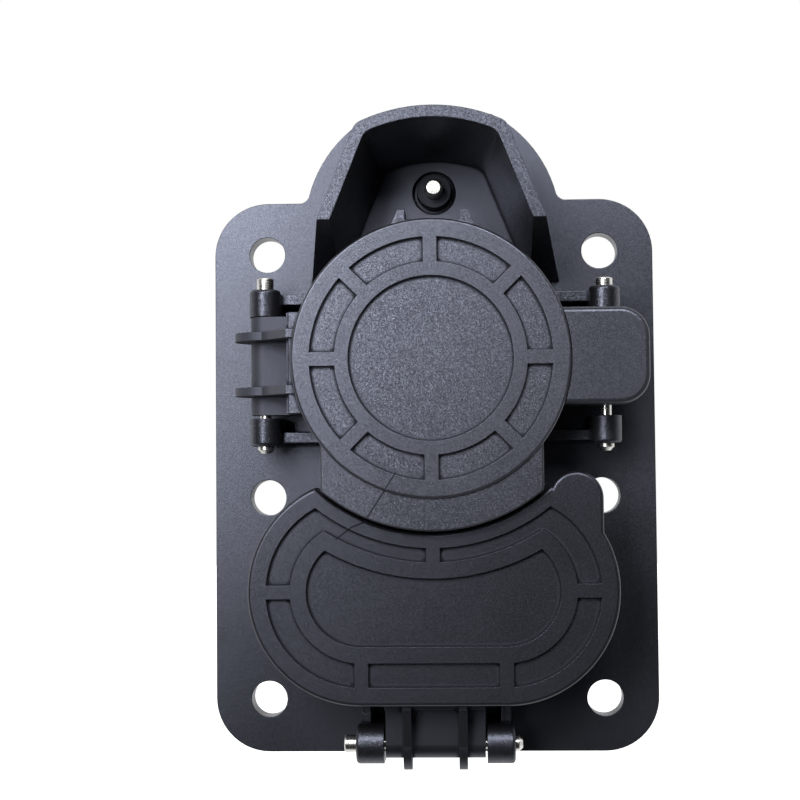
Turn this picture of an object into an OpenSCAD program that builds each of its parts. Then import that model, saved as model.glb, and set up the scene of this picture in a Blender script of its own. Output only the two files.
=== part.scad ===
// Combined AC and DC vehicle charging inlet with two hinged lids and a latch hood.
// Each piece is drawn facing the viewer, with x to the right, y up and z forward from the back of
// the plate, and is then stood upright: +X right, +Z up, and the front faces -Y.
// The origin is the centre of the four corner bolt holes on the back face of the plate.

/* [Mounting plate] */
// Width of the flange plate
plate_w = 98.8; // [96:0.2:110]
// Height of the flange plate, without the bulge above it
plate_h = 123.4; // [122:0.2:136]
// Thickness of the flange plate
plate_t = 6; // [4:0.5:9]
// Corner radius of the flange plate
plate_corner_r = 12; // [6:1:18]
// Diameter of the bolt holes
bolt_hole_d = 8; // [5:0.5:9]
// Distance between the bolt holes across the plate
bolt_pitch_x = 75; // [72:1:80]
// Distance between the corner bolt holes up the plate
bolt_pitch_y = 100; // [96:1:106]
// Height of the two middle bolt holes
mid_bolt_y = -5; // [-8:1:0]
// Radius of the arched bulge above the plate
bulge_r = 28.9; // [27:0.1:32]
// Height of the centre of the bulge's arc
bulge_y = 56; // [53:0.1:58]
// Height at which the bulge is cut flat, behind the hood
bulge_top_y = 81.5; // [79:0.5:83]
// Radius of the fillets where the bulge meets the plate
bulge_fillet_r = 2.5; // [1:0.5:5]

/* [Hood] */
// Offset of the hood, its catch and the lock from the centre line
hood_x = 0.5; // [0:0.1:1]
// Height of the top of the hood
hood_top_y = 76.8; // [74:0.5:78]
// Radius of the hood's arched top
hood_arch_r = 36; // [30:1:45]
// Half width of the hood where its rim ends
hood_half_w = 23.9; // [22.5:0.2:25]
// Height at which the rim ends and the side walls start to slope to the plate
hood_rim_end_y = 53; // [51:0.5:55]
// Height at which the side walls meet the plate
hood_foot_y = 43; // [40:0.5:46]
// Sideways lean of the hood's walls, across for each unit up
hood_lean = 0.4; // [0.3:0.02:0.45]
// How far the hood stands out from the plate
hood_h = 32; // [26:1:38]
// Thickness of the hood's wall at its rim
hood_wall = 2.5; // [1.8:0.1:3]
// How much thicker the hood's wall is at its foot
hood_draft = 3.6; // [2:0.2:4.5]
// Rounding of the hood's two upper corners
hood_corner_r = 3.2; // [1.5:0.1:5]

/* [AC socket] */
// Height of the centre of the AC socket
ac_y = 24.2; // [23:0.2:25]
// Radius of the AC socket's bore
ac_bore_r = 22; // [21.5:0.1:22.6]
// Wall of the AC collar
ac_collar_wall = 1.75; // [1.4:0.05:2.2]
// How far the AC collar stands out from the plate
ac_collar_h = 24.2; // [23:0.2:28]
// Width of the ring gap between the collar and the contact island
ac_ring_gap = 3.9; // [3.5:0.1:4.2]
// Depth of the island's face below the collar's edge
ac_island_drop = 2.2; // [1:0.2:4]
// Half width of the latch catch above the collar
catch_half_w = 9.1; // [8:0.2:10.5]
// Height of the latch catch's ledge
catch_y = 54.6; // [52.5:0.1:55]
// Height of the two horns beside the ledge, above it
horn_rise = 2.2; // [1:0.1:3]
// Width of each horn
horn_w = 3.1; // [2:0.1:3.5]
// How far the latch catch stands out from the plate
catch_h = 20; // [16:0.5:20.5]

/* [Waist and DC socket] */
// How far the waist block stands out from the plate
waist_h = 21; // [20.6:0.2:22.4]
// Radius of the waist's lower edge, about the AC centre
waist_arc_r = 36; // [35:0.2:37]
// Rounding of the waist's side edges
waist_edge_r = 1; // [0.4:0.1:2]
// Height of the DC socket's middle line
dc_y = -24.8; // [-26:0.1:-24]
// Half the distance between the centres of the DC socket's round ends
dc_half_pitch = 15.3; // [14.5:0.1:16.5]
// End radius of the DC socket's bore
dc_bore_r = 18.3; // [17.8:0.1:19]
// Wall of the DC collar
dc_collar_wall = 2; // [1.5:0.1:2.6]
// How far the DC collar stands out from the plate
dc_collar_h = 20.1; // [18:0.2:22]
// Distance between the two DC contacts
dc_contact_pitch = 27; // [25:0.2:28]
// Height of the DC contacts below the socket's middle line
dc_contact_drop = 1.3; // [0.8:0.1:2.5]
// Radius of the two DC wells
dc_well_r = 9.2; // [8:0.1:9.5]

/* [Lids] */
// Thickness of the lids' front wall
lid_cap_t = 2.8; // [2.2:0.1:3.6]
// Wall of the lids' skirts
lid_skirt_wall = 2.5; // [2:0.1:3]
// Gap between the AC collar and the AC lid's skirt
ac_skirt_gap = 3.25; // [2.6:0.05:3.6]
// Gap between the DC collar and the DC lid's skirt
dc_skirt_gap = 1.2; // [1:0.1:1.6]
// Depth of the DC lid's skirt below the collar's edge
dc_skirt_depth = 5; // [3:0.2:6]
// Gap between a lid and the waist block
lid_gap = 0.7; // [0.5:0.1:1.2]
// Thickness of the lid seals
seal_t = 1; // [0.8:0.1:1.6]
// Gap left between a seal and its collar
seal_gap = 0.1; // [0.05:0.05:0.3]
// Rounding of the AC lid's front edge
ac_edge_r = 0.6; // [0.4:0.1:1.6]
// Rounding of the DC lid's front edges
dc_edge_r = 0.8; // [0.4:0.1:1.6]
// Depth of the pockets in the lids
pocket_depth = 1.2; // [0.5:0.1:1.4]
// Distance from the edge of the AC lid to its ring of pockets
ac_pocket_margin = 3.9; // [3:0.1:5]
// Width of the AC lid's ring of pockets
ac_pocket_w = 5.3; // [4:0.1:6]
// Radius of the AC lid's centre recess
ac_recess_r = 17.4; // [14:0.1:18]
// Number of pockets in the AC lid
ac_pockets = 8; // [4:1:12]
// Width of the webs between pockets
web_w = 2.9; // [2:0.1:4]
// Distance from the edge of the DC lid to its pockets
dc_pocket_margin = 3.9; // [3:0.1:4.5]
// Width of the DC lid's side and lower pockets
dc_pocket_w = 5.1; // [4:0.1:5.5]
// Distance from the hollow edge of the DC lid to its upper pockets
dc_arc_margin = 3.2; // [2.6:0.1:4]
// Width of the DC lid's upper pockets
dc_arc_pocket_w = 3; // [2:0.1:3.4]
// Width of the ridge round the DC lid's centre recess
dc_ridge_w = 3.4; // [2.4:0.1:4]
// Radius of the DC lid's finger ear
ear_r = 5.7; // [4.5:0.1:6]
// Distance of the ear's centre from the centre line
ear_x = 30.3; // [29.5:0.1:31.5]
// Height of the ear's centre
ear_y = -5.4; // [-7:0.1:-4.5]

/* [Hinges and latch] */
// Height of the middle of the AC hinge and the latch
hinge_mid_y = 23.4; // [22.5:0.1:25]
// Height of the hinge and latch pins above the plate
axis_h = 13; // [12:0.2:14]
// Diameter of the hinge and latch pins
pin_d = 2.5; // [2:0.1:3]
// Running clearance round the pins, on the radius
pin_clear = 0.05; // [0.02:0.01:0.1]
// Space between a pair of lugs
lug_space = 22.2; // [20:0.2:24]
// Length of each lug along the pin
lug_len = 6; // [5:0.1:7]
// Rounding of the lugs' outer ends
lug_edge_r = 0.8; // [0.4:0.1:1.5]
// Radius of the AC hinge and latch lugs
ac_lug_r = 3.4; // [3:0.1:4]
// Radius of the DC hinge lugs
dc_lug_r = 4.3; // [3.8:0.1:5]
// Distance from the AC lid's edge to its hinge pin
ac_reach = 7; // [6.6:0.1:7.8]
// Distance from the AC lid's edge to the latch pin
latch_reach = 8; // [7.4:0.1:8.4]
// Distance from the DC lid's edge to its hinge pin
dc_reach = 9.2; // [8:0.1:9.6]
// End play of a hinge arm between its lugs, at each end
arm_play = 0.4; // [0.2:0.05:0.8]
// Radius of the barrel on a hinge arm
barrel_r = 3.1; // [2.6:0.1:3.4]
// Radius of the fins on the AC hinge arm
ac_fin_r = 6.6; // [5.4:0.1:7]
// Radius of the fins on the DC hinge arm
dc_fin_r = 5.6; // [5:0.1:7]
// Thickness of the fins
fin_t = 1.8; // [1.2:0.1:2.6]
// Distance between the two fins
fin_pitch = 11.9; // [9:0.1:14]
// Length of the latch tab along its pin
tab_len = 20.7; // [18:0.1:21]
// Distance of the latch tab's lower end below the middle of its lugs
tab_drop = 8.7; // [7.6:0.1:9.4]
// Reach of the latch tab outward from its pin
tab_out = 9.2; // [8.5:0.1:11]
// Reach of the latch tab under the lid's rim, inward from its pin
tab_in = 10.7; // [10:0.1:11]
// Thickness of the latch tab
tab_t = 2.6; // [2:0.1:2.8]
// Rounding of the latch tab's outer corners
tab_corner_r = 6.3; // [4:0.1:7]
// Bite of the lid's toe under the latch
toe_bite = 0.6; // [0.3:0.05:0.7]

/* [Lock] */
// Height of the lock pin
lock_y = 63.6; // [62:0.2:65]
// Diameter of the lock pin
lock_pin_d = 4; // [3:0.1:4.4]
// How far the lock pin stands out of the hood's floor
lock_pin_out = 8; // [7.5:0.1:9]
// Travel of the lock pin
lock_travel = 6; // [4:0.5:7]
// Diameter of the lock pin's sleeve
sleeve_d = 7.6; // [6.6:0.1:8.4]
// How far the sleeve stands out of the hood's floor
sleeve_out = 3; // [2:0.1:4]
// Diameter of the groove round the sleeve
groove_d = 9.8; // [9:0.1:11]
// Width of the actuator case
actuator_w = 36; // [32:0.5:37]
// Height of the actuator case
actuator_h = 24; // [22:0.5:25]
// Depth of the actuator case
actuator_d = 22; // [20:0.5:28]

/* [Rear] */
// Radius of the rear body behind the AC socket
rear_ac_r = 27; // [26.4:0.1:27.4]
// End radius of the rear body behind the DC socket
rear_dc_r = 22.4; // [22:0.1:22.8]
// Length of the spigot behind the plate
spigot_l = 8; // [7:0.5:10]
// Length of the rear housing
rear_l = 36; // [34:1:46]
// Wall of the rear housing
rear_wall = 2.4; // [2:0.1:3]
// Diameter of the DC cables that the glands take
dc_cable_d = 12; // [9:0.5:12.5]
// Diameter of the AC cable that its gland takes
ac_cable_d = 14; // [10:0.5:16]
// Length of the gland tubes
gland_l = 14; // [11:0.5:18]

/* [Hidden] */

$fn = 64;
// Overlap that makes two shapes of one piece join, or a cut pass clear of a face
e = 0.5;
// Gap between pieces that seat against each other round their sides
seat_gap = 0.1;
// Thickness of the two slices that a drafted cut is drawn between
slice_t = 0.1;

plate_front = plate_t;
axis_z = plate_front + axis_h;
waist_top = plate_front + waist_h;
hood_top = plate_front + hood_h;

// AC socket and lid
ac_collar_r = ac_bore_r + ac_collar_wall;
ac_collar_top = plate_front + ac_collar_h;
ac_lid_back = waist_top + lid_gap;
ac_lid_inner = ac_collar_top + seal_gap + seal_t;
ac_lid_top = ac_lid_inner + lid_cap_t;
ac_skirt_r = ac_collar_r + ac_skirt_gap;
ac_lid_r = ac_skirt_r + lid_skirt_wall;
hinge_x = ac_lid_r + ac_reach;
latch_x = ac_lid_r + latch_reach;

// DC socket and lid: each outline is a pair of round ends with a hollow upper edge about the AC centre
dc_collar_r = dc_bore_r + dc_collar_wall;
dc_skirt_r = dc_collar_r + dc_skirt_gap;
dc_lid_r = dc_skirt_r + lid_skirt_wall;
dc_lid_arc = waist_arc_r + lid_gap;
dc_skirt_arc = dc_lid_arc + lid_skirt_wall;
dc_collar_arc = dc_skirt_arc + dc_skirt_gap;
dc_bore_arc = dc_collar_arc + dc_collar_wall;
dc_collar_top = plate_front + dc_collar_h;
dc_lid_inner = dc_collar_top + seal_gap + seal_t;
dc_lid_top = dc_lid_inner + lid_cap_t;
dc_lid_back = dc_collar_top - dc_skirt_depth;
dc_axis_y = dc_y - dc_lid_r - dc_reach;
dc_contact_y = dc_y - dc_contact_drop;

// Length of the bar that joins the ear to the DC lid
ear_root_l = 12;

// Fillets between the bulge and the plate's upper edge, whose arcs run a little into both
bulge_fillet_bite = 0.05;
bulge_fillet_y = plate_h / 2 + bulge_fillet_r - bulge_fillet_bite;
bulge_fillet_span = bulge_r + bulge_fillet_r - bulge_fillet_bite;
bulge_fillet_x = sqrt(pow(bulge_fillet_span, 2) - pow(bulge_fillet_y - bulge_y, 2));

// Open end of the hood's cavity, past the foot of its walls
hood_open_y = hood_foot_y - 2;

// Lugs: each stands on a foot a little narrower than itself, and a low bar runs to the body beside it
lug_foot_bite = 0.05;
lug_bar_t = 2.2;
lug_bar_drop = 2;

// Contact carriers: a flange that seats in a counterbore behind the plate, and an island in front of it
carrier_flange_t = 4;
carrier_flange_w = 2.6;
carrier_seat = -3;
carrier_back = carrier_seat - carrier_flange_t;
island_r = ac_bore_r - ac_ring_gap;
island_top = ac_collar_top - ac_island_drop;
well_floor = 2;
dc_island_drop = 3;
dc_carrier_top = dc_collar_top - dc_island_drop;

// AC contacts: place about the AC centre, pin radius and well radius
contact_line_1 = [-7.85, 6.8, 1.8, 4.9];
contact_line_2 = [7.85, 6.8, 1.8, 4.9];
contact_earth = [0, -10.6, 1.4, 4.2];
contact_pilot = [10.65, -5.6, 0.75, 3.2];
contact_proximity = [-10.65, -5.6, 0.75, 3.2];
ac_contacts = [contact_line_1, contact_line_2, contact_earth, contact_pilot, contact_proximity];
contact_tip_drop = 6;
contact_shank_extra = 0.9;
contact_flange_extra = 1.8;
contact_flange_t = 1.5;
contact_barrel_l = 12;
contact_clear = 0.05;
// Shares of a contact's radius taken by its nose and its barrel's wall, and of its barrel's length bored
nose_share = 0.6;
barrel_wall_share = 0.28;
barrel_bore_share = 0.8;

// DC contacts
dc_pin_r = 4;
dc_tip_drop = 5;
dc_pin_top = dc_carrier_top - dc_tip_drop;
dc_shank_r = 5.5;
dc_flange_r = 7.6;
dc_flange_t = 3;
dc_barrel_r = 6.8;
dc_barrel_l = 22;
guard_cap_l = 2.4;
guard_share = 0.7;
guard_stem_r = 1.6;
guard_stem_l = 3;

// Pins with a head at one end and a swaged end at the other
pin_r = pin_d / 2;
pin_head_extra = 0.6;
pin_head_r = pin_r + pin_head_extra;
pin_head_l = 2.6;
latch_head_l = 1.8;
pin_swage_extra = 0.5;
pin_swage_r = pin_r + pin_swage_extra;
pin_swage_l = 1.6;
pin_chamfer = 0.25;
lug_end = lug_space / 2 + lug_len;

// Hinge arm, in a frame with x along the pin, y towards the lid and z forward
arm_half = lug_space / 2 - arm_play;
arm_drop = 1.6;
arm_step = 1.2;
riser_step = 0.6;
riser_step_drop = 1;
fin_over = 0.5;
ac_arm_rise = arm_play - seat_gap;
ac_fin_rise = 0.3;

// Latch lever
tab_lug_gap = 0.3;
tab_back = axis_z + ac_lug_r + tab_lug_gap;
tab_front = tab_back + tab_t;
tab_low = -tab_drop;
tab_high = tab_len - tab_drop;
boss_len = 3.8;
boss_high = min(tab_high, lug_space / 2 - arm_play);
leg_half = 4;
leg_t = 2;
leg_gap = 0.6;
notch_half = leg_half + leg_gap;
toe_t = 2.4;
toe_gap = 0.5;
toe_top = tab_back - toe_gap;
toe_low = toe_top - toe_t;
// The latch's catching edge and the lid's leg, as distances from the centre line
catch_edge_x = latch_x - tab_in + leg_t;
leg_outer_x = catch_edge_x - leg_gap;
leg_inner_x = leg_outer_x - leg_t;

// Torsion spring of the latch
spring_wire_r = 0.4;
spring_pin_gap = 0.6;
spring_coil_r = pin_r + spring_wire_r + spring_pin_gap;
spring_turns = 5;
spring_pitch = 1.3;
spring_steps = 14;
spring_mid = 1;
spring_start = spring_mid - spring_turns * spring_pitch / 2;
spring_seat_gap = 0.3;
spring_leg_out = 6.5;
spring_bend = 1;

// Lock pin and its actuator
lock_r = lock_pin_d / 2;
sleeve_r = sleeve_d / 2;
groove_depth = 1.5;
lock_tip_chamfer = 0.5;
lock_tail = 16;
actuator_corner_r = 4;
actuator_cover_t = 3;
actuator_ear_r = 4;
actuator_ear_t = 5;
actuator_ear_out = 3;
actuator_ear_x = actuator_w / 2 + actuator_ear_out;
actuator_rise = 3.5;
actuator_y = lock_y + actuator_rise;
actuator_pad_t = 1;
actuator_pad_grow = 0.3;
actuator_front = -actuator_pad_t;
actuator_back = actuator_front - actuator_d;
connector_w = 13;
connector_h = 9;
connector_l = 6;
connector_wall = 1.5;
connector_inset = 1.5;
connector_z = actuator_back + connector_inset + connector_w / 2;
screw_r = 1.5;
screw_head_r = 2.8;
screw_head_l = 2;
screw_grip = 8;
screw_clear = 0.1;
screw_end_gap = 1;
cover_screw_inset = 4;
cover_screw_grip = 9;

// Rear housing and its screws
spigot_back = -spigot_l;
gasket_t = 1;
rear_front = spigot_back - gasket_t;
rear_back = rear_front - rear_l;
rear_cap_t = 3;
rear_waist = 20;
rear_ear_r = 4.6;
rear_ear_t = 5;
rear_ear_out = 3;
rear_ear_turn = 28;
// Gap between the middle screws' heads and the rear body
rear_head_gap = 1;
rear_ear_x = rear_waist + rear_ear_out;
rear_ear_reach = rear_dc_r + screw_head_r + rear_head_gap;
rear_ear_low = dc_y + sqrt(pow(rear_ear_reach, 2) - pow(rear_ear_x - dc_half_pitch, 2));
rear_ears = [
    [(rear_ac_r + rear_ear_out) * cos(rear_ear_turn), ac_y + (rear_ac_r + rear_ear_out) * sin(rear_ear_turn)],
    [rear_ear_x, rear_ear_low],
    [dc_half_pitch, dc_y - rear_dc_r - rear_ear_out]
];
rear_screw_grip = 6;

// Glands: a tube on the rear housing, a rubber insert in it and a nut over it
gland_wall = 1.8;
insert_wall = 2.2;
nut_wall = 2.2;
nut_cap = 4;
nut_clear = 0.1;
nut_gap = 1;
nut_ribs = 12;
cable_clear = 0.5;
rib_r = 0.6;

// Building blocks

// Stands a piece drawn facing the viewer upright
module stand() {
    rotate([90, 0, 0])
        children();
}

// Extrudes a flat outline from one height to another
module slab(z0, z1) {
    translate([0, 0, z0])
        linear_extrude(z1 - z0)
            children();
}

// Extrudes a profile drawn in (y, z) along x, centred
module along_x(length) {
    translate([-length / 2, 0, 0])
        rotate([90, 0, 90])
            linear_extrude(length)
                children();
}

module tube(r, inner_r, z0, z1) {
    translate([0, 0, z0])
        difference() {
            cylinder(r = r, h = z1 - z0);
            translate([0, 0, -e])
                cylinder(r = inner_r, h = z1 - z0 + 2 * e);
        }
}

// A disc with a rounded front edge, from z0 to z1
module rounded_disc(r, edge, z0, z1, sides = 128) {
    rotate_extrude($fn = sides)
        union() {
            translate([0, z0])
                square([r, z1 - z0 - edge]);
            translate([0, z1 - edge - e])
                square([r - edge, edge + e]);
            translate([r - edge, z1 - edge])
                intersection() {
                    circle(r = edge);
                    square(edge);
                }
        }
}

// Cross-section of a bar with two rounded upper edges
module rounded_bar(half, edge, z0, z1) {
    translate([-half, z0])
        square([2 * half, z1 - z0 - edge]);
    translate([edge - half, z0])
        square([2 * (half - edge), z1 - z0]);
    for (s = [-1, 1])
        translate([s * (half - edge), z1 - edge])
            circle(r = edge);
}

module stadium(r, half) {
    for (s = [-1, 1])
        translate([s * half, 0])
            circle(r = r, $fn = 96);
    square([2 * half, 2 * r], center = true);
}

module rounded_rect(w, h, r) {
    square([w - 2 * r, h], center = true);
    square([w, h - 2 * r], center = true);
    for (sx = [-1, 1], sy = [-1, 1])
        translate([sx * (w / 2 - r), sy * (h / 2 - r)])
            circle(r = r);
}

// Outline of the DC socket's family of shapes
module bean(r, arc) {
    difference() {
        translate([0, dc_y])
            stadium(r, dc_half_pitch);
        translate([0, ac_y])
            circle(r = arc, $fn = 128);
    }
}

module at_ac_hinge() {
    translate([-hinge_x, hinge_mid_y, axis_z])
        rotate([0, 0, -90])
            children();
}

module at_latch() {
    translate([latch_x, hinge_mid_y, axis_z])
        rotate([0, 0, 90])
            children();
}

module at_dc_hinge() {
    translate([0, dc_axis_y, axis_z])
        children();
}

module pin_bore(length) {
    translate([-length / 2, 0, 0])
        rotate([0, 90, 0])
            cylinder(r = pin_r + pin_clear, h = length);
}

// A steel pin along x, with its head at the low end
module headed_pin(head_l) {
    rotate([0, 90, 0])
        rotate_extrude()
            polygon([
                [0, -lug_end - head_l],
                [pin_head_r - pin_chamfer, -lug_end - head_l],
                [pin_head_r, -lug_end - head_l + pin_chamfer],
                [pin_head_r, -lug_end],
                [pin_r, -lug_end],
                [pin_r, lug_end],
                [pin_swage_r, lug_end],
                [pin_swage_r, lug_end + pin_swage_l / 2],
                [pin_r - pin_chamfer, lug_end + pin_swage_l],
                [0, lug_end + pin_swage_l]
            ]);
}

// Front housing

module plate_outline() {
    rounded_rect(plate_w, plate_h, plate_corner_r);
    intersection() {
        translate([0, bulge_y])
            circle(r = bulge_r, $fn = 128);
        translate([-bulge_r, 0])
            square([2 * bulge_r, bulge_top_y]);
    }
    for (s = [0, 1])
        mirror([s, 0])
            difference() {
                polygon([[0, bulge_y], [bulge_fillet_x, bulge_y], [bulge_fillet_x, bulge_fillet_y]]);
                translate([bulge_fillet_x, bulge_fillet_y])
                    circle(r = bulge_fillet_r);
            }
}

module bolt_holes() {
    for (sx = [-1, 1])
        for (y = [-bolt_pitch_y / 2, mid_bolt_y, bolt_pitch_y / 2])
            translate([sx * bolt_pitch_x / 2, y, -e])
                cylinder(d = bolt_hole_d, h = plate_t + 2 * e);
}

// Half width of the hood at height y, set in from its outside by a wall
function hood_half(y, inset) =
    hood_half_w - hood_lean * (y - hood_rim_end_y) - inset * sqrt(1 + hood_lean * hood_lean);

// Centre of the rounding that touches a leaning side and the arched top
function hood_corner(inset, r) =
    let (
        arch = hood_arch_r - inset,
        base = hood_top_y - hood_arch_r,
        lean = 1 + hood_lean * hood_lean,
        k = hood_half(0, inset) - r * sqrt(lean),
        mid = k * hood_lean + base,
        y = (mid + sqrt(mid * mid - lean * (k * k + base * base - pow(arch - r, 2)))) / lean
    ) [k - hood_lean * y, y];

// Outline of the hood: leaning sides, an arched top and rounded upper corners
module hood_outline(inset, low_y) {
    arch = hood_arch_r - inset;
    base = [0, hood_top_y - hood_arch_r];
    lean = sqrt(1 + hood_lean * hood_lean);
    centre = hood_corner(inset, hood_corner_r);
    tip = hood_corner(inset, 0);
    side_touch = centre + hood_corner_r * [1, hood_lean] / lean;
    top_touch = base + (centre - base) * arch / (arch - hood_corner_r);
    difference() {
        intersection() {
            translate(base)
                circle(r = arch, $fn = 128);
            polygon([
                [-hood_half(low_y, inset), low_y],
                [hood_half(low_y, inset), low_y],
                [hood_half(hood_top_y, inset), hood_top_y],
                [-hood_half(hood_top_y, inset), hood_top_y]
            ]);
        }
        for (s = [0, 1])
            mirror([s, 0])
                polygon([centre, side_touch, centre + 2 * (tip - centre), top_touch]);
    }
    for (s = [-1, 1])
        translate([s * centre[0], centre[1]])
            circle(r = hood_corner_r);
}

module hood() {
    difference() {
        slab(plate_front - e, hood_top)
            hood_outline(0, hood_foot_y);
        hull() {
            slab(plate_front, plate_front + slice_t)
                hood_outline(hood_wall + hood_draft, hood_open_y);
            slab(hood_top, hood_top + slice_t)
                hood_outline(hood_wall, hood_open_y);
        }
        along_x(4 * hood_half_w)
            polygon([
                [hood_foot_y, plate_front],
                [hood_rim_end_y, hood_top],
                [hood_rim_end_y, hood_top + e],
                [hood_open_y, hood_top + e],
                [hood_open_y, plate_front]
            ]);
    }
}

module latch_catch() {
    slab(plate_front - e, plate_front + catch_h)
        difference() {
            translate([-catch_half_w, ac_y])
                square([2 * catch_half_w, catch_y + horn_rise - ac_y]);
            translate([horn_w - catch_half_w, catch_y])
                square([2 * (catch_half_w - horn_w), horn_rise + e]);
            for (s = [0, 1])
                mirror([s, 0])
                    polygon([
                        [catch_half_w - horn_w / 2, catch_y + horn_rise],
                        [catch_half_w + e, catch_y + horn_rise],
                        [catch_half_w + e, catch_y - horn_rise]
                    ]);
        }
}

module waist() {
    translate([0, ac_y, 0])
        intersection() {
            slab(plate_front - e, waist_top + e)
                circle(r = waist_arc_r, $fn = 128);
            rotate([90, 0, 0])
                linear_extrude(waist_arc_r + e)
                    rounded_bar(ac_collar_r, waist_edge_r, plate_front - e, waist_top);
        }
}

// A pair of lugs on the plate, and a low bar from each to the body beside it
module lug_pair(r, bar_reach) {
    foot_half = r - lug_foot_bite;
    for (s = [0, 1])
        mirror([s, 0, 0])
            translate([lug_space / 2, 0, 0]) {
                rotate([0, 90, 0])
                    rounded_disc(r, lug_edge_r, 0, lug_len, 40);
                translate([0, -foot_half, -axis_h - e])
                    cube([lug_len - lug_edge_r, 2 * foot_half, axis_h + e]);
                translate([lug_len / 2, 0, -axis_h - e])
                    cube([lug_bar_t, bar_reach, axis_h + e - lug_bar_drop]);
            }
}

module rear_outline(grow) {
    translate([0, ac_y])
        circle(r = rear_ac_r + grow, $fn = 96);
    translate([0, dc_y])
        stadium(rear_dc_r + grow, dc_half_pitch);
    translate([-rear_waist - grow, dc_y])
        square([2 * (rear_waist + grow), ac_y - dc_y]);
}

module rear_ear_places() {
    for (s = [-1, 1], place = rear_ears)
        translate([s * place[0], place[1]])
            children();
}

module actuator_ear_places() {
    for (s = [-1, 1])
        translate([hood_x + s * actuator_ear_x, actuator_y])
            children();
}

module actuator_outline(grow) {
    translate([hood_x, actuator_y])
        rounded_rect(actuator_w + 2 * grow, actuator_h + 2 * grow, actuator_corner_r + grow);
}

module actuator_ears(grow) {
    actuator_ear_places()
        circle(r = actuator_ear_r + grow);
    translate([hood_x, actuator_y])
        square([2 * actuator_ear_x, 2 * (actuator_ear_r + grow)], center = true);
}

module front_housing() {
    color([0.16, 0.165, 0.18])
        stand()
            difference() {
                union() {
                    slab(0, plate_front)
                        plate_outline();
                    translate([hood_x, 0, 0]) {
                        hood();
                        latch_catch();
                    }
                    translate([0, ac_y, 0])
                        cylinder(r = ac_collar_r, h = ac_collar_top, $fn = 128);
                    waist();
                    slab(plate_front - e, dc_collar_top)
                        bean(dc_collar_r, dc_collar_arc);
                    at_ac_hinge()
                        lug_pair(ac_lug_r, hinge_x - ac_collar_r / 2);
                    at_latch()
                        lug_pair(ac_lug_r, latch_x - ac_collar_r / 2);
                    at_dc_hinge()
                        lug_pair(dc_lug_r, dc_lid_r - dc_collar_r + dc_reach + e);
                    slab(spigot_back, e) {
                        rear_outline(0);
                        rear_ear_places()
                            circle(r = rear_ear_r);
                    }
                    slab(actuator_front, e) {
                        actuator_outline(actuator_pad_grow);
                        actuator_ears(actuator_pad_grow);
                    }
                }
                bolt_holes();
                at_ac_hinge()
                    pin_bore(2 * lug_end + 2 * e);
                at_latch()
                    pin_bore(2 * lug_end + 2 * e);
                at_dc_hinge()
                    pin_bore(2 * lug_end + 2 * e);
                translate([0, ac_y, carrier_seat - e])
                    cylinder(r = ac_bore_r, h = ac_collar_top - carrier_seat + 2 * e, $fn = 128);
                translate([0, ac_y, spigot_back - e])
                    cylinder(r = ac_bore_r + carrier_flange_w, h = carrier_seat - spigot_back + e);
                slab(carrier_seat - e, dc_collar_top + e)
                    bean(dc_bore_r, dc_bore_arc);
                slab(spigot_back - e, carrier_seat)
                    bean(dc_bore_r + carrier_flange_w, dc_bore_arc - carrier_flange_w);
                translate([hood_x, lock_y, 0]) {
                    translate([0, 0, actuator_front - e])
                        cylinder(r = sleeve_r + seat_gap, h = plate_front - actuator_front + 2 * e);
                    tube(groove_d / 2, sleeve_r, plate_front - groove_depth, plate_front + e);
                }
                slab(spigot_back - e, spigot_back + rear_screw_grip)
                    rear_ear_places()
                        circle(r = screw_r + screw_clear);
                slab(actuator_front - e, actuator_front + screw_grip - actuator_ear_t)
                    actuator_ear_places()
                        circle(r = screw_r + screw_clear);
            }
}

// Lids

// The arm of a lid: a barrel on the pin, a flat plate, a riser to the lid and two fins
module hinge_arm(reach, riser_rise, inset, fin_r, fin_rise) {
    difference() {
        union() {
            along_x(2 * arm_half) {
                circle(r = barrel_r);
                translate([0, -arm_drop])
                    square([reach + inset, arm_drop + barrel_r]);
                translate([reach - arm_step, -arm_drop])
                    square([arm_step + inset, arm_drop + riser_rise - riser_step_drop]);
                translate([reach - arm_step + riser_step, -arm_drop])
                    square([arm_step - riser_step + inset, arm_drop + riser_rise]);
            }
            for (s = [-1, 1])
                translate([s * fin_pitch / 2 - fin_rise, 0, 0])
                    along_x(fin_t) {
                        circle(r = fin_r);
                        polygon([
                            [0, -arm_drop],
                            [reach + inset, -arm_drop],
                            [reach + inset, riser_rise + fin_over],
                            [reach - arm_step, riser_rise + fin_over],
                            [0, fin_r]
                        ]);
                    }
        }
        pin_bore(2 * lug_end);
    }
}

module ac_pocket_ring() {
    outer = ac_lid_r - ac_pocket_margin;
    difference() {
        circle(r = outer, $fn = 128);
        circle(r = outer - ac_pocket_w, $fn = 128);
        for (k = [0:ac_pockets - 1])
            rotate(360 * k / ac_pockets)
                translate([0, -web_w / 2])
                    square([outer + e, web_w]);
    }
    circle(r = ac_recess_r, $fn = 128);
}

// The leg under the AC lid's rim, with the toe that the latch holds
module catch_leg() {
    translate([leg_inner_x, hinge_mid_y - leg_half, toe_low])
        cube([leg_t, 2 * leg_half, ac_lid_inner - toe_low + e]);
    translate([leg_inner_x, hinge_mid_y - leg_half, toe_low])
        cube([leg_t + leg_gap + toe_bite, 2 * leg_half, toe_t]);
}

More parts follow.
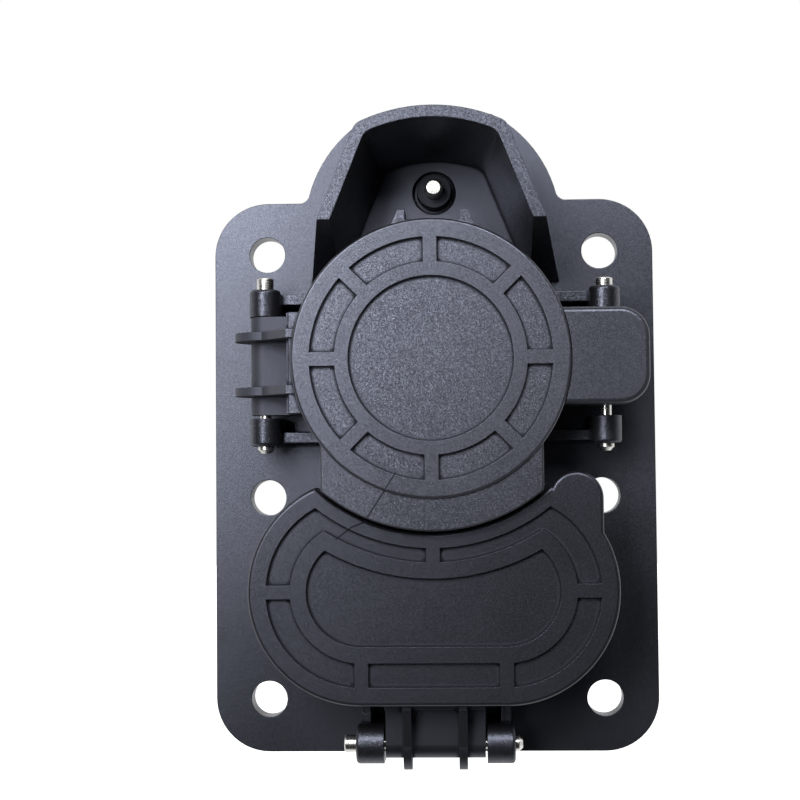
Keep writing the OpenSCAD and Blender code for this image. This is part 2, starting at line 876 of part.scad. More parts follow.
module ac_lid() {
    color([0.2, 0.205, 0.225])
        stand() {
            difference() {
                translate([0, ac_y, 0])
                    rounded_disc(ac_lid_r, ac_edge_r, ac_lid_back, ac_lid_top);
                translate([0, ac_y, ac_lid_back - e])
                    cylinder(r = ac_skirt_r, h = ac_lid_inner - ac_lid_back + e, $fn = 128);
                translate([0, ac_y, 0])
                    slab(ac_lid_top - pocket_depth, ac_lid_top + e)
                        ac_pocket_ring();
            }
            difference() {
                at_ac_hinge()
                    translate([-ac_arm_rise, 0, 0])
                        hinge_arm(ac_reach, ac_lid_inner - axis_z, lid_skirt_wall, ac_fin_r, ac_fin_rise);
                translate([0, ac_y, 0])
                    cylinder(r = ac_skirt_r, h = ac_lid_inner, $fn = 128);
            }
            catch_leg();
        }
}

module ac_lid_seal() {
    seal_w = 1.4;
    color([0.08, 0.08, 0.085])
        stand()
            translate([0, ac_y, 0])
                tube(ac_collar_r + seal_w, ac_bore_r - seal_w, ac_collar_top + seal_gap, ac_lid_inner);
}

// The DC lid's round-edged outer form: two round ends and the band between them, hollowed at the top
module dc_lid_form() {
    difference() {
        translate([0, dc_y, 0]) {
            for (s = [-1, 1])
                translate([s * dc_half_pitch, 0, 0])
                    rounded_disc(dc_lid_r, dc_edge_r, dc_lid_back, dc_lid_top);
            along_x(2 * dc_half_pitch)
                rounded_bar(dc_lid_r, dc_edge_r, dc_lid_back, dc_lid_top);
        }
        translate([0, ac_y, 0])
            rotate_extrude($fn = 128)
                flared_cut();
    }
}

// The finger ear, level with the front of the DC lid
module dc_ear() {
    translate([ear_x, ear_y, 0])
        rounded_disc(ear_r, dc_edge_r, dc_lid_inner, dc_lid_top);
    translate([ear_x, ear_y - ear_root_l / 2, 0])
        rotate([0, 0, 90])
            along_x(ear_root_l)
                rounded_bar(ear_r, dc_edge_r, dc_lid_inner, dc_lid_top);
}

// Half profile of the cutter for the DC lid's hollow edge, flared to leave a rounded front edge
module flared_cut() {
    difference() {
        translate([0, dc_lid_back - e])
            square([dc_lid_arc + dc_edge_r, dc_lid_top - dc_lid_back + 2 * e]);
        translate([dc_lid_arc, dc_lid_back - 2 * e])
            square([dc_edge_r + e, dc_lid_top - dc_lid_back - dc_edge_r + 2 * e]);
        translate([dc_lid_arc + dc_edge_r, dc_lid_top - dc_edge_r])
            circle(r = dc_edge_r);
    }
}

module dc_pockets() {
    outer_r = dc_lid_r - dc_pocket_margin;
    outer_arc = dc_lid_arc + dc_arc_margin;
    inner_r = outer_r - dc_pocket_w;
    inner_arc = outer_arc + dc_arc_pocket_w;
    difference() {
        bean(outer_r, outer_arc);
        bean(inner_r, inner_arc);
        translate([-2 * dc_lid_r, dc_y - web_w / 2])
            square([4 * dc_lid_r, web_w]);
        translate([-web_w / 2, dc_y])
            square([web_w, dc_lid_r]);
        for (s = [-1, 1])
            translate([s * dc_half_pitch - web_w / 2, dc_y - dc_lid_r])
                square([web_w, dc_lid_r]);
    }
    bean(inner_r - dc_ridge_w, inner_arc + dc_ridge_w);
}

module dc_lid() {
    color([0.19, 0.195, 0.21])
        stand() {
            difference() {
                union() {
                    dc_lid_form();
                    dc_ear();
                }
                slab(dc_lid_back - e, dc_lid_inner)
                    bean(dc_skirt_r, dc_skirt_arc);
                slab(dc_lid_top - pocket_depth, dc_lid_top + e)
                    dc_pockets();
            }
            difference() {
                at_dc_hinge()
                    hinge_arm(dc_reach, dc_lid_inner - axis_z, lid_skirt_wall, dc_fin_r, 0);
                slab(plate_front, dc_lid_inner)
                    bean(dc_skirt_r, dc_skirt_arc);
            }
        }
}

module dc_lid_seal() {
    seal_w = 1;
    color([0.08, 0.08, 0.085])
        stand()
            slab(dc_collar_top + seal_gap, dc_lid_inner)
                difference() {
                    bean(dc_collar_r + seal_w, dc_collar_arc - seal_w);
                    bean(dc_bore_r - seal_w, dc_bore_arc + seal_w);
                }
}

module ac_hinge_pin() {
    color([0.78, 0.78, 0.76])
        stand()
            at_ac_hinge()
                headed_pin(pin_head_l);
}

module dc_hinge_pin() {
    color([0.78, 0.78, 0.76])
        stand()
            at_dc_hinge()
                headed_pin(pin_head_l);
}

// Latch

// Outline of the latch tab, with x along its pin and y towards the lid
module tab_outline() {
    r = tab_corner_r;
    difference() {
        union() {
            translate([tab_low, r - tab_out])
                square([tab_len, tab_in + tab_out - r]);
            translate([tab_low + r, -tab_out])
                square([tab_len - 2 * r, r + e]);
            for (x = [tab_low + r, tab_high - r])
                translate([x, r - tab_out])
                    circle(r = r);
        }
        translate([-notch_half, tab_in - leg_t])
            square([2 * notch_half, leg_t + e]);
    }
}

module latch_lever() {
    color([0.19, 0.195, 0.215])
        stand()
            at_latch()
                difference() {
                    union() {
                        slab(tab_back - axis_z, tab_front - axis_z)
                            tab_outline();
                        for (x = [tab_low + boss_len / 2, boss_high - boss_len / 2])
                            translate([x, 0, 0])
                                along_x(boss_len) {
                                    circle(r = barrel_r);
                                    translate([-barrel_r, 0])
                                        square([2 * barrel_r, tab_back - axis_z + e]);
                                }
                    }
                    pin_bore(2 * lug_end);
                }
}

module latch_pin() {
    color([0.78, 0.78, 0.76])
        stand()
            at_latch()
                mirror([1, 0, 0])
                    headed_pin(latch_head_l);
}

// Centre line of the latch spring: a leg down to the plate, the coil and a leg out under the tab
spring_foot = spring_wire_r + spring_seat_gap - axis_h;
spring_roof = tab_back - axis_z - spring_wire_r - spring_seat_gap;
spring_end = spring_start + spring_turns * spring_pitch;
spring_line = concat(
    [[spring_start, -spring_coil_r, spring_foot], [spring_start, -spring_coil_r, spring_foot / 2]],
    [
        for (k = [0:spring_turns * spring_steps])
            let (a = 180 - 360 * k / spring_steps)
            [
                spring_start + spring_pitch * k / spring_steps,
                spring_coil_r * cos(a),
                spring_coil_r * sin(a)
            ]
    ],
    [
        [spring_end, -spring_coil_r - spring_bend, spring_roof],
        [spring_end, -spring_coil_r - spring_leg_out, spring_roof]
    ]
);

// A round wire swept along a line of points that keeps roughly square to the x axis
module wire(line, r, sides) {
    last = len(line) - 1;
    function heading(k) =
        let (d = line[min(k + 1, last)] - line[max(k - 1, 0)])
        d / norm(d);
    function ring(k) =
        let (
            t = heading(k),
            across = cross(t, [1, 0, 0]),
            u = across / norm(across),
            v = cross(u, t)
        )
        [for (j = [0:sides - 1]) line[k] + r * (cos(360 * j / sides) * u + sin(360 * j / sides) * v)];
    points = [for (k = [0:last]) each ring(k)];
    faces = concat(
        [[for (j = [0:sides - 1]) j]],
        [
            for (k = [0:last - 1], j = [0:sides - 1])
                let (i = k * sides, n = (j + 1) % sides)
                each [[i + j, i + sides + n, i + n], [i + j, i + sides + j, i + sides + n]]
        ],
        [[for (j = [0:sides - 1]) last * sides + sides - 1 - j]]
    );
    polyhedron(points, faces);
}

module latch_spring() {
    wire_sides = 8;
    color([0.7, 0.7, 0.68])
        stand()
            at_latch()
                wire(spring_line, spring_wire_r, wire_sides);
}

// Lock

module lock_pin() {
    tip = plate_front + lock_pin_out;
    color([0.88, 0.88, 0.84])
        stand()
            translate([hood_x, lock_y, 0])
                rotate_extrude()
                    polygon([
                        [0, -lock_tail],
                        [lock_r, -lock_tail],
                        [lock_r, tip - lock_tip_chamfer],
                        [lock_r - lock_tip_chamfer, tip],
                        [0, tip]
                    ]);
}

module lock_pin_sleeve() {
    color([0.13, 0.13, 0.14])
        stand()
            translate([hood_x, lock_y, 0])
                tube(sleeve_r, lock_r + pin_clear, actuator_front, plate_front + sleeve_out);
}

module cover_screw_places() {
    dx = actuator_w / 2 - cover_screw_inset;
    dy = actuator_h / 2 - cover_screw_inset;
    for (sx = [-1, 1], sy = [-1, 1])
        translate([hood_x + sx * dx, actuator_y + sy * dy])
            children();
}

module actuator_case() {
    color([0.12, 0.12, 0.13])
        stand()
            difference() {
                union() {
                    slab(actuator_back, actuator_front)
                        actuator_outline(0);
                    slab(actuator_front - actuator_ear_t, actuator_front)
                        actuator_ears(0);
                }
                slab(actuator_back - e, actuator_front + e)
                    translate([hood_x, lock_y])
                        circle(r = lock_r + pin_clear);
                slab(actuator_front - actuator_ear_t - e, actuator_front + e)
                    actuator_ear_places()
                        circle(r = screw_r + screw_clear);
                slab(actuator_back - e, actuator_back + cover_screw_grip)
                    cover_screw_places()
                        circle(r = screw_r + screw_clear);
            }
}

module actuator_cover() {
    color([0.2, 0.2, 0.22])
        stand()
            difference() {
                slab(actuator_back - actuator_cover_t, actuator_back)
                    actuator_outline(0);
                slab(actuator_back - actuator_cover_t - e, actuator_back + e)
                    cover_screw_places()
                        circle(r = screw_r + screw_clear);
            }
}

// An open shroud with two blades, on the right side of the actuator case
module actuator_connector() {
    shroud = [connector_h, connector_w];
    blade_w = 2;
    blade_t = 0.6;
    blade_pitch = 5;
    base_t = 2;
    color([0.24, 0.25, 0.27])
        stand()
            translate([hood_x + actuator_w / 2, actuator_y - actuator_h / 4, connector_z])
                rotate([90, 0, 90]) {
                    linear_extrude(base_t)
                        square(shroud, center = true);
                    linear_extrude(base_t + connector_l)
                        difference() {
                            square(shroud, center = true);
                            square(shroud - 2 * [connector_wall, connector_wall], center = true);
                        }
                    for (s = [-1, 1])
                        translate([0, s * blade_pitch / 2, 0])
                            linear_extrude(connector_l)
                                square([blade_t, blade_w], center = true);
                }
}

// A screw that points forward, with its head's seat at z = 0
module screw(grip) {
    socket_r = 1.3;
    socket_depth = 1.2;
    difference() {
        union() {
            translate([0, 0, -screw_head_l])
                cylinder(r = screw_head_r, h = screw_head_l);
            cylinder(r = screw_r, h = grip);
        }
        translate([0, 0, -screw_head_l - e])
            cylinder(r = socket_r, h = socket_depth + e, $fn = 6);
    }
}

module actuator_cover_screws() {
    color([0.7, 0.7, 0.68])
        stand()
            translate([0, 0, actuator_back - actuator_cover_t])
                cover_screw_places()
                    screw(actuator_cover_t + cover_screw_grip - screw_end_gap);
}

module actuator_screws() {
    color([0.7, 0.7, 0.68])
        stand()
            translate([0, 0, actuator_front - actuator_ear_t])
                actuator_ear_places()
                    screw(screw_grip - screw_end_gap);
}

// Contacts

// Holes for the shanks of the AC contacts
module ac_shank_holes(z0, z1) {
    slab(z0, z1)
        for (c = ac_contacts)
            translate([c[0], c[1]])
                circle(r = c[2] + contact_shank_extra + contact_clear);
}

// The flange that holds the AC contacts, seated in the housing's counterbore
module ac_contact_carrier() {
    color([0.11, 0.11, 0.12])
        stand()
            translate([0, ac_y, 0])
                difference() {
                    slab(carrier_back, carrier_seat)
                        circle(r = ac_bore_r + carrier_flange_w - seat_gap);
                    ac_shank_holes(carrier_back - e, carrier_seat + e);
                }
}

// The island on that flange, with a well round each contact
module ac_contact_insert() {
    color([0.11, 0.11, 0.12])
        stand()
            translate([0, ac_y, 0])
                difference() {
                    slab(carrier_seat, island_top)
                        circle(r = island_r, $fn = 96);
                    ac_shank_holes(carrier_seat - e, well_floor + e);
                    slab(well_floor, island_top + e)
                        for (c = ac_contacts)
                            translate([c[0], c[1]])
                                circle(r = c[3]);
                }
}

// A turned contact: a round-nosed pin, a shank in the carrier, a flange behind it and a crimp barrel
module turned_contact(r, tip, shank_r, flange_r, flange_t, barrel_r, barrel_l) {
    nose = r * nose_share;
    barrel_wall = barrel_r * barrel_wall_share;
    back = carrier_back - flange_t - barrel_l;
    bore_end = back + barrel_l * barrel_bore_share;
    rotate_extrude()
        polygon([
            [0, bore_end],
            [barrel_r - barrel_wall, bore_end],
            [barrel_r - barrel_wall, back],
            [barrel_r, back],
            [barrel_r, carrier_back - flange_t],
            [flange_r, carrier_back - flange_t],
            [flange_r, carrier_back],
            [shank_r, carrier_back],
            [shank_r, well_floor],
            [r, well_floor],
            [r, tip - nose],
            [r - nose / 2, tip - nose / 4],
            [r - nose, tip],
            [0, tip]
        ]);
}

module ac_contact(c) {
    color([0.8, 0.78, 0.7])
        stand()
            translate([c[0], ac_y + c[1], 0])
                turned_contact(
                    c[2],
                    island_top - contact_tip_drop,
                    c[2] + contact_shank_extra,
                    c[2] + contact_flange_extra,
                    contact_flange_t,
                    c[2] + contact_shank_extra,
                    contact_barrel_l
                );
}

module dc_contact_carrier() {
    color([0.11, 0.11, 0.12])
        stand()
            difference() {
                union() {
                    slab(carrier_back, carrier_seat)
                        bean(
                            dc_bore_r + carrier_flange_w - seat_gap,
                            dc_bore_arc - carrier_flange_w + seat_gap
                        );
                    slab(carrier_seat - e, dc_carrier_top)
                        bean(dc_bore_r - seat_gap, dc_bore_arc + seat_gap);
                }
                for (s = [-1, 1])
                    translate([s * dc_contact_pitch / 2, dc_contact_y, 0]) {
                        translate([0, 0, well_floor])
                            cylinder(r = dc_well_r, h = dc_carrier_top);
                        translate([0, 0, carrier_back - e])
                            cylinder(r = dc_shank_r + contact_clear, h = well_floor - carrier_back + 2 * e);
                    }
            }
}

module dc_contact(s) {
    color([0.8, 0.78, 0.7])
        stand()
            translate([s * dc_contact_pitch / 2, dc_contact_y, 0])
                difference() {
                    turned_contact(
                        dc_pin_r,
                        dc_pin_top,
                        dc_shank_r,
                        dc_flange_r,
                        dc_flange_t,
                        dc_barrel_r,
                        dc_barrel_l
                    );
                    translate([0, 0, dc_pin_top - guard_stem_l - seat_gap])
                        cylinder(r = guard_stem_r + contact_clear, h = guard_stem_l + e);
                }
}

// An insulating cap on the tip of a DC contact
module touch_guard(s) {
    cap_r = dc_pin_r * guard_share;
    color([0.85, 0.85, 0.83])
        stand()
            translate([s * dc_contact_pitch / 2, dc_contact_y, dc_pin_top])
                rotate_extrude()
                    polygon([
                        [0, -guard_stem_l],
                        [guard_stem_r, -guard_stem_l],
                        [guard_stem_r, 0],
                        [cap_r, 0],
                        [cap_r, guard_cap_l / 2],
                        [cap_r * guard_share, guard_cap_l],
                        [0, guard_cap_l]
                    ]);
}

// Rear housing

module rear_gasket() {
    color([0.08, 0.08, 0.085])
        stand()
            slab(rear_front, spigot_back)
                difference() {
                    union() {
                        rear_outline(0);
                        rear_ear_places()
                            circle(r = rear_ear_r);
                    }
                    rear_outline(-rear_wall);
                    rear_ear_places()
                        circle(r = screw_r + screw_clear);
                }
}

module gland_places() {
    translate([0, ac_y])
        children(0);
    for (s = [-1, 1])
        translate([s * dc_contact_pitch / 2, dc_contact_y])
            children(1);
}

function gland_bore(cable_d) = cable_d / 2 + insert_wall;
function gland_outer(cable_d) = gland_bore(cable_d) + gland_wall;

module rear_housing() {
    color([0.14, 0.14, 0.15])
        stand()
            difference() {
                union() {
                    slab(rear_back, rear_front)
                        rear_outline(0);
                    slab(rear_front - rear_ear_t, rear_front)
                        rear_ear_places()
                            circle(r = rear_ear_r);
                    slab(rear_back - gland_l, rear_back + e)
                        gland_places() {
                            circle(r = gland_outer(ac_cable_d));
                            circle(r = gland_outer(dc_cable_d));
                        }
                }
                slab(rear_back + rear_cap_t, rear_front + e)
                    rear_outline(-rear_wall);
                slab(rear_back - gland_l - e, rear_back + rear_cap_t + e)
                    gland_places() {
                        circle(r = gland_bore(ac_cable_d));
                        circle(r = gland_bore(dc_cable_d));
                    }
                slab(rear_front - rear_ear_t - e, rear_front + e)
                    rear_ear_places()
                        circle(r = screw_r + screw_clear);
            }
}

module rear_screws() {
    color([0.7, 0.7, 0.68])
        stand()
            translate([0, 0, rear_front - rear_ear_t])
                rear_ear_places()
                    screw(rear_ear_t + gasket_t + rear_screw_grip - screw_end_gap);
}

// A rubber insert, pressed into its gland tube
module gland_insert(cable_d) {
    translate([0, 0, rear_back])
        tube(gland_bore(cable_d) - seat_gap, cable_d / 2, -gland_l, 0);
}

// A ribbed nut over a gland tube, open in the middle for the cable
module gland_nut(cable_d) {
    inner = gland_outer(cable_d) + nut_clear;
    outer = inner + nut_wall;
    back = rear_back - gland_l - nut_cap;
    front = rear_back - nut_gap;
    difference() {
        union() {
            translate([0, 0, back])
                cylinder(r = outer, h = front - back);
            for (k = [0:nut_ribs - 1])
                rotate(360 * k / nut_ribs)
                    translate([outer, 0, back])
                        cylinder(r = rib_r, h = front - back, $fn = 24);
        }
        translate([0, 0, back + nut_cap])
            cylinder(r = inner, h = front - back);
        translate([0, 0, back - e])
            cylinder(r = cable_d / 2 + cable_clear, h = nut_cap + 2 * e);
    }
}

module ac_gland_insert() {
    color([0.09, 0.09, 0.095])
        stand()
            translate([0, ac_y, 0])
                gland_insert(ac_cable_d);
}

module ac_gland_nut() {
    color([0.13, 0.13, 0.14])
        stand()
            translate([0, ac_y, 0])
                gland_nut(ac_cable_d);
}

module dc_gland_insert(s) {
    color([0.09, 0.09, 0.095])
        stand()
            translate([s * dc_contact_pitch / 2, dc_contact_y, 0])
                gland_insert(dc_cable_d);
}

module dc_gland_nut(s) {
    color([0.13, 0.13, 0.14])
        stand()
            translate([s * dc_contact_pitch / 2, dc_contact_y, 0])
                gland_nut(dc_cable_d);
}

front_housing();
ac_lid();
ac_lid_seal();
ac_hinge_pin();
latch_lever();
latch_pin();
latch_spring();
dc_lid();
dc_lid_seal();
dc_hinge_pin();
lock_pin();
lock_pin_sleeve();
actuator_case();
actuator_cover();
actuator_connector();
actuator_cover_screws();
actuator_screws();
ac_contact_carrier();
ac_contact_insert();
ac_contact(contact_line_1);  // line_contact_1
ac_contact(contact_line_2);  // line_contact_2
ac_contact(contact_earth);  // earth_contact
ac_contact(contact_pilot);  // pilot_contact
ac_contact(contact_proximity);  // proximity_contact
dc_contact_carrier();
dc_contact(1);  // dc_contact_positive
dc_contact(-1);  // dc_contact_negative
touch_guard(1);  // touch_guard_positive
touch_guard(-1);  // touch_guard_negative
rear_gasket();
rear_housing();
rear_screws();
ac_gland_insert();
ac_gland_nut();
dc_gland_insert(1);  // dc_gland_insert_positive
dc_gland_insert(-1);  // dc_gland_insert_negative
dc_gland_nut(1);  // dc_gland_nut_positive
dc_gland_nut(-1);  // dc_gland_nut_negative
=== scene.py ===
"""Looks of the charge port inlet: finishes, pieces, light, floor and camera around the solids."""

import math

import bmesh
import bpy
from mathutils import Matrix, Vector


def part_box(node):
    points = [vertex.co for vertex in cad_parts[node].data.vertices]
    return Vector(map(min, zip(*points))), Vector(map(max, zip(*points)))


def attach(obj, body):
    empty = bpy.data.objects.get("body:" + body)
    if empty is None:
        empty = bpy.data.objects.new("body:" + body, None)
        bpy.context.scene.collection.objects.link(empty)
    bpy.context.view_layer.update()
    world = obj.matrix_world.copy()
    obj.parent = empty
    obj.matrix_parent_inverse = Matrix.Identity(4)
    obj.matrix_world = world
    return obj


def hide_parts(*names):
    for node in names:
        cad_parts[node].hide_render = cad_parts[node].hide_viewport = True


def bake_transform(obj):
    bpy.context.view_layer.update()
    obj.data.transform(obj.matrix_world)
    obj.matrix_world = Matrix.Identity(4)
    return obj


# Lengths are in millimetres in the part's frame, and this takes them to Blender's metres
MM = 0.001

# Camera, fitted to the photograph: the roll is in degrees
CAMERA_EYE = (8.827, -393.476, -2.129)
CAMERA_AIM = (-7.683, -6.0, 16.778)
CAMERA_ROLL = 0.502
CAMERA_LENS = 77.51
CAMERA_SENSOR = 36.0
CAMERA_NEAR = 10.0

# Square soft boxes in front of the part: name, place and power in watts
SOFTBOXES = (
    ("key", (-150.0, -420.0, 200.0), 1.52),
    ("left", (-160.0, -420.0, 50.0), 0.56),
    ("top", (100.0, -420.0, 280.0), 1.35),
)
SOFTBOX_AIM = (0.0, -15.0, 10.0)
SOFTBOX_SIDE = 160.0

# World: its strength in front of the part, lower for glossy rays, and the directions, by their Y,
# between which it rises to white behind the part
WORLD_FRONT = 0.16
WORLD_FRONT_GLOSSY = 0.03
WORLD_RISE = (-0.4, 0.1)

# Floor: its tones, and the glow that makes it white to the camera
FLOOR_Z = -160.0
FLOOR_SIDE = 6000.0
FLOOR_TONES = (0.86, 0.90)
FLOOR_GLOW = 0.86

# Faces of the solids, as depths in front of the plate's back
PLATE_FRONT = 6.2
ARM_FRONT = 26.8
POCKET_BAND = (33.0, 33.8)

# AC lid, seen from the front
AC_CENTRE = (0.0, 24.2)
AC_LID_R = 29.5

# Lip below the AC lid's edge, over the waist
LIP_R = 36.3
LIP_HALF_W = 23.35
LIP_BACK = 30.4
LIP_FRONT = 33.2
LIP_ROOT = 0.8
LIP_EDGE_R = 0.35

# Raised pad on the latch tab, beside the AC lid's edge
PAD_LOW = 14.3
PAD_HIGH = 34.6
PAD_OUT = 45.9
PAD_CORNER_R = 6.2
PAD_GAP = 0.12
PAD_ROOT = 0.2
PAD_EDGE_R = 1.0

# Steps of the arcs in these outlines and edges, and the bend in degrees that stays sharp
ARC_STEPS = 48
PAD_CORNER_STEPS = 12
PAD_ROOT_STEPS = 14
EDGE_STEPS = 4
SHARP_BEND = 10.0

# A hairline scratch down the front, as points (x, z)
SCRATCH = ((-7.6, 0.2), (-11.2, -5.4), (-14.2, -10.0), (-17.2, -11.2), (-20.4, -13.6))
SCRATCH_W = 0.32

# Moulded plastic: scales of its patterns per metre, and lengths
CLOUD_SCALE = 32.0
WEAR_SCALE = 240.0
WEAR_STRETCH = (1.0, 1.0, 6.0)
CORNER_REACH = 1.3
SMOOTH_BAND = 0.5

# Moulded plastic: tones as shares of the base colour, and how much of the pale edge tone shows.
# The pale flecks of the grain are painted glints, the pale edges are wear with a painted highlight,
# and the corner tone is painted shade in inside corners
CLOUD_TONES = (0.86, 1.14)
PAINTED_GLINT_TONE = 9.0
WEAR_AND_HIGHLIGHT_TONE = 3.5
WEAR_AND_HIGHLIGHT_SHARE = 0.5
CORNER_SHADE_TONE = 0.3

# Moulded plastic: shares of the glint, which tilts the facets and sets the painted glints of the
# grain's flecks, and of the grain's size for its height
SMOOTH_GLINT = 0.25
POCKET_GLINT = 1.8
FINE_GLINT = 1.5
FINE_HEIGHT = 0.3

# Moulded plastic: steps of the roughness, the roughness of corners and the colour of the sheen
CLOUD_ROUGH = 0.04
FINE_ROUGH = 0.05
CORNER_ROUGH = 0.95
COOL_SHEEN = (0.73, 0.78, 1.0)

# Turned steel: scales of its rings along the axis and round it, and of its smears, per metre
RING_SCALE = 9000.0
RING_DRIFT = 120.0
SMEAR_SCALE = 420.0

# Turned steel: lengths, tones as shares of the base colour, and steps of the roughness
STEEL_EDGE = 0.2
RING_HEIGHT = 0.02
RING_BUMP = 0.25
SMEAR_TONE = 0.72
STEEL_EDGE_TONE = 1.15
STEEL_EDGE_SHARE = 0.5
RING_ROUGH = (-0.06, 0.08)
SMEAR_ROUGH = 0.12

# Rubber: scales of its bloom and its fine grain per metre
BLOOM_SCALE = 90.0
RUBBER_SCALE = 5200.0

# Rubber: lengths, tones as shares of the base colour, roughness and sheen
RUBBER_EDGE = 0.25
RUBBER_HEIGHT = 0.04
RUBBER_BUMP = 0.2
BLOOM_TONE = 1.9
RUBBER_EDGE_TONE = 2.4
RUBBER_EDGE_SHARE = 0.3
BLOOM_ROUGH = (0.68, 0.84)
RUBBER_SPECULAR = 0.35


# Node helpers


class Nodes:
    """The node tree of a material or world, with short ways to add and join nodes."""

    def __init__(self, owner, output="ShaderNodeOutputMaterial"):
        owner.use_nodes = True
        self.tree = owner.node_tree
        self.tree.nodes.clear()
        self.output = self.add(output)

    def add(self, kind, inputs=None, **settings):
        """A new node, with its settings and the values or joins of its inputs."""
        node = self.tree.nodes.new(kind)
        for key, value in settings.items():
            setattr(node, key, value)
        for key, value in (inputs or {}).items():
            self.put(node.inputs[key], value)
        return node

    def put(self, socket, value):
        """Sets a socket to a value, or joins it to another node's output."""
        if isinstance(value, bpy.types.NodeSocket):
            self.tree.links.new(value, socket)
        else:
            socket.default_value = value

    def math(self, operation, a, b=0.0, clamp=False):
        """A number worked out from two others."""
        node = self.add("ShaderNodeMath", {0: a, 1: b}, operation=operation, use_clamp=clamp)
        return node.outputs[0]

    def vector(self, operation, a, b=(0.0, 0.0, 0.0)):
        """A vector, or the number for a dot product or a length, worked out from two vectors."""
        node = self.add("ShaderNodeVectorMath", {0: a, 1: b}, operation=operation)
        return node.outputs["Value" if operation in ("DOT_PRODUCT", "LENGTH") else "Vector"]

    def times(self, a, factor):
        """A vector multiplied by a number."""
        node = self.add("ShaderNodeVectorMath", {0: a, "Scale": factor}, operation="SCALE")
        return node.outputs["Vector"]

    def ramp(self, value, low, high, to_low=0.0, to_high=1.0):
        """Maps a value from one range to another, clamped."""
        inputs = {
            "Value": value,
            "From Min": low,
            "From Max": high,
            "To Min": to_low,
            "To Max": to_high,
        }
        return self.add("ShaderNodeMapRange", inputs).outputs[0]

    def mix(self, factor, a, b):
        """A colour between a and b."""
        node = self.add("ShaderNodeMix", data_type="RGBA")
        self.put(node.inputs["Factor"], factor)
        self.put(node.inputs["A"], a)
        self.put(node.inputs["B"], b)
        return node.outputs["Result"]

    def noise(self, place, scale, detail=2.0, roughness=0.5):
        """Soft noise from 0 to 1."""
        inputs = {"Vector": place, "Scale": scale, "Detail": detail, "Roughness": roughness}
        return self.add("ShaderNodeTexNoise", inputs).outputs[0]

    def place(self):
        """Position on the piece, in metres in the part's frame."""
        return self.add("ShaderNodeTexCoord").outputs["Object"]

    def depth(self, place):
        """Distance in front of the plate's back face, in millimetres."""
        y = self.add("ShaderNodeSeparateXYZ", {0: place}).outputs["Y"]
        return self.math("MULTIPLY", y, -1.0 / MM)

    def line(self, place, a, b, width):
        """1 on the line from a to b, seen from the front, fading to 0 at its width."""
        flat = self.vector("MULTIPLY", place, (1.0 / MM, 0.0, 1.0 / MM))
        start = Vector((a[0], 0.0, a[1]))
        along = Vector((b[0], 0.0, b[1])) - start
        offset = self.vector("SUBTRACT", flat, tuple(start))
        reach = self.vector("DOT_PRODUCT", offset, tuple(along / along.length_squared))
        share = self.math("MULTIPLY", reach, 1.0, clamp=True)
        foot = self.times(tuple(along), share)
        away = self.vector("LENGTH", self.vector("SUBTRACT", offset, foot))
        return self.ramp(away, 0.4 * width, width, 1.0, 0.0)

    def bump(self, height, strength, distance, normal):
        """A normal tilted by a height."""
        inputs = {"Strength": strength, "Distance": distance, "Height": height, "Normal": normal}
        return self.add("ShaderNodeBump", inputs).outputs[0]

    def edge(self, radius):
        """(rounded normal, how near an edge a point lies, from 0 to 1)."""
        bevel = self.add("ShaderNodeBevel", {"Radius": radius * MM}, samples=6).outputs[0]
        true_normal = self.add("ShaderNodeNewGeometry").outputs["Normal"]
        bend = self.math("SUBTRACT", 1.0, self.vector("DOT_PRODUCT", bevel, true_normal))
        return bevel, self.ramp(bend, 0.01, 0.16)

    def corner(self, reach):
        """How deep in an inside corner a point lies, from 0 to 1, where shade is painted."""
        inputs = {"Distance": reach * MM}
        sky = self.add("ShaderNodeAmbientOcclusion", inputs, samples=8, only_local=True)
        return self.ramp(sky.outputs["AO"], 0.62, 0.92, 1.0, 0.0)

    def rays(self, *kinds):
        """1 for light rays of any of these kinds."""
        path = self.add("ShaderNodeLightPath").outputs
        share = path[kinds[0]]
        for kind in kinds[1:]:
            share = self.math("MAXIMUM", share, path[kind])
        return share

    def shade(self, **sockets):
        """A Principled shader joined to the output."""
        shader = self.add("ShaderNodeBsdfPrincipled")
        for key, value in sockets.items():
            self.put(shader.inputs[key.replace("_", " ")], value)
        self.show(shader)

    def show(self, shader):
        """Joins a shader to the output."""
        self.tree.links.new(shader.outputs[0], self.output.inputs["Surface"])


def rgba(colour):
    return (*colour, 1.0)


def grey(tone):
    return (tone, tone, tone, 1.0)


def scaled(colour, k):
    return tuple(min(1.0, k * c) for c in colour)


def tinted(colour, k):
    """A colour scaled by k, as a shader takes it."""
    return rgba(scaled(colour, k))


# Materials


